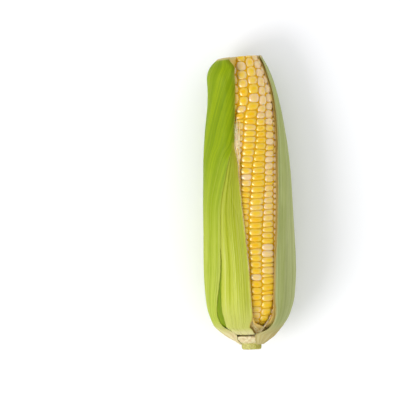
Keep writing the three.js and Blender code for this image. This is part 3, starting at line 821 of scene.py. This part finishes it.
footRest = through([
    (3.3, 6.5), (4.8, 8.2), (6, 9.8), (7.4, 11.4), (8.6, 12.2), (10.3, 13.6), (12.4, 17.4),
    (15.6, 24),
])
footGap = 0.85


def outerFoot(s, angle, fromEdge):  # an outer leaf's margin lies on the collar and front leaf
    room = np.maximum(huskRadius(s, angle) - footRest(s) - footGap, 0) * (1 - ease(s, 12.4, 17))
    return room * (1 - ease(fromEdge, 1, 9))


lobe = {  # the right leaf starts as a curled lobe on the collar
    "height": 1.1,
    "along": 6.8, "length": 2.6,
    "inwards": 2.4, "width": 2.0,  # from the leaf's margin
    "ripple": 0.22, "rippleAlong": 2.4, "rippleAcross": 1.7,
}


def lobePuff(s, t, fromLeft, fromRight):
    along = (s - lobe["along"]) / lobe["length"]
    inwards = (fromLeft - lobe["inwards"]) / lobe["width"]
    ripple = lobe["ripple"] * np.sin(lobe["rippleAlong"] * s + lobe["rippleAcross"] * fromLeft)
    return np.exp(-(along**2) - inwards**2) * (lobe["height"] + ripple)


def outerDip(s):  # the outer left leaf's margin dips onto the front leaf
    return mix(0.72, 0.3, ease(s, 46, 62)) * ease(s, 10, 15) * (1 - ease(s, 122, 132))


outerLeaf = {
    "slot": "husk_outer", "layer": 0, "from": 3.3, "to": 193, "rows": 170,
    "thick": cob["outerThick"], "ridge": 0.09, "bulge": 0.1,
}
middleLeaf = {
    "slot": "husk_middle", "finish": huskFinish("Middle husk", middleLook), "layer": 1,
    "from": 5.8, "to": 115, "rows": 90, "thick": cob["middleThick"], "ridge": 0.06,
}
innerLeaf = {
    "slot": "husk_inner", "finish": huskFinish("Inner husk", innerLook), "layer": 2,
    "from": 5.8, "to": 193, "rows": 170, "thick": cob["innerThick"], "ridge": 0.05,
}
leaves = {
    "leaf_outer_left": {
        **outerLeaf, "node": "husk_outer_left", "finish": huskFinish("Outer husk", outerLook),
        "seed": 11, "columns": 180, "ribs": 74, "swirl": veinSlant,
        "left": fixed(-192), "right": lambda s: outerLeftEdge(s) + overlap(s) / 4,
        "raggedRight": 0.3, "dipRight": outerDip, "hugRight": (1.5, 7),
        "hugOver": lambda s: ease(s, 123, 132) * (1 - ease(s, 168, 182)),
        "foot": lambda s, angle, fromLeft, fromRight: outerFoot(s, angle, fromRight),
    },
    "leaf_outer_right": {
        **outerLeaf, "node": "husk_outer_right", "finish": huskFinish("Right husk", rightLook),
        "seed": 12, "columns": 150, "ribs": 62, "puff": lobePuff,
        "left": windowRight, "right": fixed(165.5), "raggedLeft": 0.3, "hugLeft": (1.6, 6),
        "foot": lambda s, angle, fromLeft, fromRight: 0.6 * outerFoot(s, angle, fromLeft),
    },
    "leaf_front": {
        "node": "husk_front", "slot": "husk_front", "finish": huskFinish("Front husk", frontLook),
        "seed": 13, "layer": 0, "from": 10.3, "to": 134, "columns": 90, "rows": 180,
        "thick": cob["outerThick"], "ridge": 0.14, "ribs": 20, "puff": frontPuff,
        "left": lambda s: frontLeftEdge(s) - overlap(s), "right": windowLeft,
        "raggedLeft": 0.15, "raggedRight": 0.4,
        "dipLeft": fixed(0.72), "hugRight": front["hugRight"], "foot": frontFoot,
    },
    "leaf_middle_left": {
        **middleLeaf, "node": "husk_middle_left", "seed": 14, "columns": 120, "ribs": 110,
        "left": fixed(-244), "right": lambda s: np.minimum(windowLeft(s) - 14, -14),
    },
    "leaf_middle_right": {
        **middleLeaf, "node": "husk_middle_right", "seed": 15, "columns": 50, "ribs": 36,
        "left": lambda s: np.maximum(windowRight(s) + mix(3, 15, ease(s, 16, 32)), 40),
        "right": fixed(112), "raggedLeft": 0.3,
    },
    "leaf_inner_left": {
        **innerLeaf, "node": "husk_inner_left", "seed": 16, "columns": 110, "ribs": 80,
        "left": fixed(-178), "right": innerLeftEdge, "raggedRight": 0.35, "hugRight": (0.8, 7.5),
    },
    "leaf_inner_right": {
        **innerLeaf, "node": "husk_inner_right", "seed": 17, "columns": 90, "ribs": 60,
        "left": innerRightEdge, "right": fixed(178), "raggedLeft": 0.35, "hugLeft": (0.1, 7),
    },
}

print("husk")
for name, leaf in leaves.items():
    makeLeaf(name, leaf)

shank = {
    "profile": [
        (0, 0), (0, 2), (0, 4), (0, 5.4), (0.15, 5.9), (0.5, 6.3), (1.6, 6.5), (3.2, 6.5),
        (3.9, 6.9), (4.8, 8.2), (6, 9.8), (7.4, 11.4), (8.2, 11.9), (8.6, 12), (9.0, 11.8),
        (9.3, 11.2), (9.5, 9.2), (12, 8.6), (13.8, 7.4), (13.8, 0),
    ],
    "sides": 180,
    "oval": 0.03, "lobed": 0.02,  # how far out of round it is, in two lobes and in five
    "seed": 23,
    "grooves": (9, 24, 5), "grooveDepth": 0.09,
    "sag": 0.1,  # how uneven the cut end is
    "collar": colour(236, 226, 176), "collarDark": colour(212, 186, 132),
    "collarFibre": colour(240, 230, 196), "collarFrom": (3.4, 5.2),
    "stub": colour(208, 202, 92), "stubDark": colour(168, 162, 66),
    "scar": colour(178, 132, 62),
    "pith": colour(236, 228, 190), "pithDark": colour(214, 206, 150),
    "pithScale": 1600,
}


def shankFinish():
    f = Finish("Shank", Roughness=0.6, Subsurface_Weight=0.08, Subsurface_Scale=0.001)
    along, turn, radius = f.stored("along"), f.stored("turn"), f.stored("radius")
    fibres = f.noise(f.vector(turn * 0.1, along * 0.12, 3), 6.0, 4, 0.65)
    patches = f.noise(f.vector(turn * 0.03, along * 0.3, 8), 3.0, 3, 0.6)
    mottled = patches.between(0.35, 0.65)
    collar = f.blend(mottled, shank["collarDark"], shank["collar"])
    collar = f.blend(fibres.between(0.55, 0.75) * 0.6, collar, shank["collarFibre"])
    stub = f.blend(mottled, shank["stubDark"], shank["stub"])
    isCollar = (along + (patches - 0.5) * 1.6).between(*shank["collarFrom"])
    body = f.blend(isCollar, stub, collar)
    body = f.blend(fibres.between(0.62, 0.8) * 0.4, body, shank["scar"])
    pith = f.noise(f.spot(), shank["pithScale"], 3)
    face = f.blend(pith.between(0.4, 0.6), shank["pithDark"], shank["pith"])
    isFace = (1 - along.between(0.0, 0.5)) * (1 - radius.between(5.2, 6.1))
    f.set(Base_Color=f.blend(isFace, body, face))
    f.bump(fibres, 0.0005, 0.6)
    return f.material


def makeShank():
    profile = np.array(shank["profile"], float)
    steps = [profile[0]]
    for a, b in zip(profile, profile[1:]):
        steps.extend(mix(a, b, t) for t in (0.25, 0.5, 0.75, 1))
    s, radius = np.array(steps).T[:, :, None]
    angle = np.linspace(-180, 180, shank["sides"], endpoint=False)[None, :]
    uneven = 1 + shank["oval"] * sinDeg(2 * angle + 40) + shank["lobed"] * sinDeg(5 * angle)
    grooves = waves(np.random.default_rng(shank["seed"]), *shank["grooves"])
    strands = shank["grooveDepth"] * grooves(angle) * ease(radius, 2, 6)
    sag = shank["sag"] * sinDeg(3 * angle + 25) * ease(radius, 0, 6) * (1 - ease(s, 0, 1))
    points = place(s + np.maximum(sag, 0), angle, radius * uneven + strands, 0 * radius * angle)
    points = points.reshape(-1, 3)
    values = {"along": s + 0 * angle, "turn": angle + 0 * s, "radius": radius + 0 * angle}
    faces = gridFaces(len(s), shank["sides"], closed=True)
    piece = makeObject("shank_stub", points, faces, shankFinish(), values, sharpOver=60)
    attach(piece, "root")
    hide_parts("shank")


print("shank")
makeShank()

silk = {
    "strands": 30, "points": 26,
    "from": (106, 128),  # where the strands of the tuft start and end
    "to": (134, 150),
    "reach": 8,  # the tuft's width in degrees, next to the left edge of the opening
    "reachFrom": (108, 144),
    "wander": 0.5, "wanderWaves": (3, 26, 7),
    "above": (1.0, 0.25),  # height over the kernels beside the edge, and on the tuft's far side
    "rise": 0.25, "riseWaves": (2, 14, 5),
    "lowest": 0.05, "thick": 0.13,
    "pale": (1.0, 0.9, 0.6), "brown": (0.80, 0.52, 0.20),
}
fringe = {
    "strands": 150, "points": 12,
    "from": (14, 140), "length": (4, 12),
    "away": (-0.6, 0.5),  # how far from the front leaf's margin a fibre starts, and how it bends
    "bend": (-0.4, 1.0),
    "sunk": (0, 0.4),
    "footStrands": 46,
    # where the curve of torn fibres under the kernels is lowest, and how it rises
    "footLow": 13, "footMiddle": 15, "footRise": 9.5, "footHalf": 18,
    "footFrom": (-5, 24), "footLength": (4, 11),
    "footShift": (-1.6, 1.2), "footTilt": (-1.6, 1.6), "footSunk": (1.7, 2.3),
    "thick": 0.07,
    "pale": colour(238, 226, 170), "brown": colour(186, 140, 80),
}


def strandTube(path, thick, sides=5):  # a thin tube along a path, pointed at both ends
    along = np.gradient(path, axis=0)
    along /= np.linalg.norm(along, axis=1)[:, None]
    side = np.cross(along, (0.0, 0.0, 1.0))
    side /= np.linalg.norm(side, axis=1)[:, None]
    up = np.cross(side, along)
    turn = np.linspace(0, 2 * math.pi, sides, endpoint=False)
    ends = np.sin(np.linspace(0.05, math.pi - 0.05, len(path))) ** 0.4
    ring = np.cos(turn)[None, :, None] * side[:, None] + np.sin(turn)[None, :, None] * up[:, None]
    tube = path[:, None] + ring * (thick * ends)[:, None, None]
    return tube.reshape(-1, 3), gridFaces(len(path), sides, closed=True)[:, ::-1]


def strandFinish(name, look):
    f = Finish(name, Roughness=0.4, Subsurface_Weight=0.2, Subsurface_Scale=0.0006)
    f.set(Base_Color=f.blend(f.stored("tint"), look["pale"], look["brown"]))
    return f.material


def makeStrands(name, look, paths, rng):
    parts = []
    for path in paths:
        tube = strandTube(path, look["thick"] * millimetre * rng.uniform(0.6, 1.2))
        parts.append((*tube, {"tint": rng.beta(1.2, 2.2)}))
    points, faces, values = joined(parts)
    piece = makeObject(name, points, faces, strandFinish(name, look), values)
    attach(piece, "root")


def silkPath(rng):
    s = np.linspace(rng.uniform(*silk["from"]), rng.uniform(*silk["to"]), silk["points"])
    share = rng.random()
    beside = share * (1 + (silk["reach"] - 1) * ease(s, *silk["reachFrom"]))
    beside = beside + silk["wander"] * waves(rng, *silk["wanderWaves"])(s)
    earRadius = np.interp(s, *np.array(ear["profile"], float).T)
    above = mix(*silk["above"], share) + silk["rise"] * waves(rng, *silk["riseWaves"])(s)
    radius = earRadius + np.maximum(above, silk["lowest"])
    return place(s, windowLeft(s) + 0.4 + beside, radius, 0 * s)


def fringePath(rng):
    start = rng.uniform(*fringe["from"])
    s = np.linspace(start, start + rng.uniform(*fringe["length"]), fringe["points"])
    bent = np.linspace(0, 1, fringe["points"]) ** 2
    angle = windowLeft(s) + (rng.uniform(*fringe["away"]) + rng.uniform(*fringe["bend"]) * bent)
    radius = huskRadius(s, angle) - hug(s, angle, 0, front["hugRight"][0])
    radius = radius - frontFoot(s, angle, 0, 0)
    return place(s, angle, radius - rng.uniform(*fringe["sunk"]), 0 * s)


def footPath(rng):  # a strand of the torn cup below the lowest kernels
    first = rng.uniform(*fringe["footFrom"])
    angle = np.linspace(first, first + rng.uniform(*fringe["footLength"]), fringe["points"])
    aside = (angle - fringe["footMiddle"]) / fringe["footHalf"]
    s = fringe["footLow"] + fringe["footRise"] * aside**2
    tilted = np.linspace(-1, 1, fringe["points"])
    s = s + rng.uniform(*fringe["footShift"]) + rng.uniform(*fringe["footTilt"]) * tilted
    return place(s, angle, huskRadius(s, angle) - rng.uniform(*fringe["footSunk"]), 0 * s)


print("silk")
silkRandom = np.random.default_rng(77)
silkPaths = [silkPath(silkRandom) for _ in range(silk["strands"])]
makeStrands("silk", silk, silkPaths, silkRandom)
fringePaths = [fringePath(silkRandom) for _ in range(fringe["strands"])]
fringePaths += [footPath(silkRandom) for _ in range(fringe["footStrands"])]
makeStrands("torn_fibres", fringe, fringePaths, silkRandom)

studio = {
    "frameWidth": 260,  # millimetres across the image at the cob's middle height
    "imageSize": 400,  # pixels across it
    "origin": (247.4, 213.6),  # pixel of the part's origin
    "lean": 1.74,  # degrees that the cob leans to the left
    "distance": 1400, "sensor": 36, "farthest": 20,
    "floorSize": 6, "floorGrain": 60,
    "floorDark": (0.94, 0.945, 0.97), "floorPale": (0.95, 0.955, 0.98),
    "keyFrom": (-0.78, -0.46, 0.90),
    "keySize": 0.62, "keyPower": 6.7,
    "glintFrom": (-0.96, -0.32, 0.86),  # a broad lamp that is only seen in the kernels' shine
    "glintSize": 1.1, "glintPower": 46,
    "skyTop": 0.785, "skyFoot": 1.19,  # the sky's brightness overhead and at its foot
}


def makeFloor():
    half = studio["floorSize"] / 2
    co = [(-half, -half, 0), (half, -half, 0), (half, half, 0), (-half, half, 0)]
    f = Finish("Table", Roughness=0.8, Specular_IOR_Level=0.1)
    grain = f.noise(f.spot(), studio["floorGrain"], 2)
    f.set(Base_Color=f.blend(grain, studio["floorDark"], studio["floorPale"]))
    makeObject("table", co, [(0, 1, 2, 3)], f.material, smooth=False)


def makeLamp(name):
    lamp = bpy.data.lights.new(name, "AREA")
    lamp.shape, lamp.size, lamp.energy = "DISK", studio[name + "Size"], studio[name + "Power"]
    made = bpy.data.objects.new(name, lamp)
    made.location = Vector(studio[name + "From"])
    made.rotation_euler = made.location.to_track_quat("Z", "Y").to_euler()
    bpy.context.scene.collection.objects.link(made)
    return made


def makeLights():
    makeLamp("key")
    makeLamp("glint").visible_diffuse = False
    world = bpy.data.worlds.new("studio")
    world.use_nodes = True
    sky = NodeMaker(world.node_tree)
    height = sky.node("SeparateXYZ", {}, [sky.node("TexCoord", {}, {}, "Generated")], "Z")
    limits = {"Value": height, "To Min": studio["skyFoot"], "To Max": studio["skyTop"]}
    background = sky.tree.nodes["Background"]
    sky.join(background.inputs["Strength"], sky.node("MapRange", {}, limits))
    sky.join(background.inputs["Color"], (1, 1, 1))
    bpy.context.scene.world = world


def makeCamera():
    perPixel = studio["frameWidth"] / studio["imageSize"]
    lean = math.radians(studio["lean"])
    right = Vector((math.cos(lean), -math.sin(lean), 0))
    up = Vector((math.sin(lean), math.cos(lean), 0))
    centre = studio["imageSize"] / 2
    aside = (centre - studio["origin"][0]) * perPixel
    ahead = (studio["origin"][1] - centre) * perPixel
    lens = bpy.data.cameras.new("camera")
    lens.sensor_width = studio["sensor"]
    lens.lens = studio["sensor"] * studio["distance"] / studio["frameWidth"]
    lens.clip_end = studio["farthest"]
    camera = bpy.data.objects.new("camera", lens)
    spot = right * aside + up * ahead + Vector((0, 0, studio["distance"] + cob["axisHeight"]))
    turn = Matrix((right, up, (0, 0, 1))).transposed().to_4x4()
    camera.matrix_world = Matrix.Translation(spot * millimetre) @ turn
    bpy.context.scene.collection.objects.link(camera)
    bpy.context.scene.camera = camera


print("studio")
makeFloor()
makeLights()
makeCamera()
bpy.context.scene.view_settings.view_transform = "Standard"
